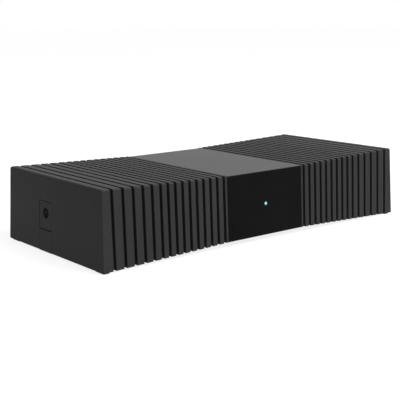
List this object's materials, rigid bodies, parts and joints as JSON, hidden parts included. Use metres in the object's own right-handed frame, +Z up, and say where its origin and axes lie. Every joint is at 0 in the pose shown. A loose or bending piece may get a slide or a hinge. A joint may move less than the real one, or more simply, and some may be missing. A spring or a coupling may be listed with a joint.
{
  "type": "streaming media player",
  "caption": "Long low black media player box with a waisted body, ribbed wings, a smooth middle with a dark front window and status light, rear sockets and an end power inlet.",
  "frame": {"origin": "on the surface it stands on, under the middle of the case", "axes": "+X along the case's length, away from the power inlet; +Y to the back, where the sockets are; +Z up"},
  "size_m": [0.2228, 0.0998, 0.0431],
  "materials": {
    "shell_plastic": "fine-grain matt black moulding",
    "panel_plastic": "smooth satin dark grey moulding",
    "window_plastic": "dark infra-red-clear window, soft gloss",
    "socket_panel_plastic": "fine-grain matt black moulding",
    "base_plastic": "coarse-grain matt black moulding",
    "foot_rubber": "matt",
    "screw_steel": "black-passivated steel",
    "bright_screw_steel": "zinc plated",
    "jack_plastic": "black moulded connector plastic",
    "socket_metal": "tin-plated sheet",
    "contact_gold": "gold-flashed",
    "pin_metal": "nickel plated",
    "circuit_board": "green solder mask over copper tracks",
    "chip_black": "black moulded package",
    "thermal_rubber": "soft silicone",
    "sink_aluminium": "extruded, clear anodised",
    "natural_nylon": "natural nylon",
    "inductor_ferrite": "pressed ferrite",
    "capacitor_sleeve": "shrink sleeve",
    "radio_board": "blue solder mask",
    "copper_film": "printed copper on amber film",
    "cable_jacket": "thin coaxial jacket",
    "receiver_epoxy": "dark infra-red-clear epoxy",
    "led_white": "moulded light housing",
    "clear_pipe": "clear acrylic, lit pale cyan",
    "switch_metal": "stamped cover",
    "button_plastic": "smooth grey moulding"
  },
  "bodies": {
    "case": {"top_shell": "shell_plastic", "top_panel": "panel_plastic", "front_window": "window_plastic", "rear_port_panel": "socket_panel_plastic", "base_cover": "base_plastic", "foot_front_left": "foot_rubber", "foot_front_right": "foot_rubber", "foot_rear_left": "foot_rubber", "foot_rear_right": "foot_rubber", "base_screws": "screw_steel", "dc_inlet_plate": "shell_plastic", "dc_jack_body": "jack_plastic", "dc_jack_pin": "pin_metal", "dc_jack_spring": "contact_gold", "main_board": "circuit_board", "board_screws": "bright_screw_steel", "soc_chip": "chip_black", "thermal_pad": "thermal_rubber", "heat_sink": "sink_aluminium", "heat_sink_push_pins": "natural_nylon", "memory_chip_front": "chip_black", "memory_chip_rear": "chip_black", "flash_chip": "chip_black", "crystal": "pin_metal", "power_ic": "chip_black", "power_inductor_front": "inductor_ferrite", "power_inductor_rear": "inductor_ferrite", "capacitor_left": "capacitor_sleeve", "capacitor_middle": "capacitor_sleeve", "capacitor_right": "capacitor_sleeve", "hdmi_shell": "socket_metal", "hdmi_tongue": "jack_plastic", "hdmi_contacts": "contact_gold", "usb_shell": "socket_metal", "usb_tongue": "jack_plastic", "usb_contacts": "contact_gold", "network_jack": "jack_plastic", "network_shield": "socket_metal", "network_contacts": "contact_gold", "network_transformer": "chip_black", "wifi_module": "radio_board", "wifi_shield": "socket_metal", "antenna_left": "copper_film", "antenna_right": "copper_film", "antenna_cable_left": "cable_jacket", "antenna_cable_right": "cable_jacket", "ir_receiver": "receiver_epoxy", "status_led": "led_white", "light_pipe": "clear_pipe", "reset_switch": "switch_metal"},
    "reset_button": {"reset_button": "button_plastic"}
  },
  "joints": [
    {"name": "reset_press", "type": "slide", "parent": "case", "child": "reset_button", "axis": [0, -1, 0], "range_m": [0, 0.0004], "stiffness_N_per_m": 4000}
  ]
}
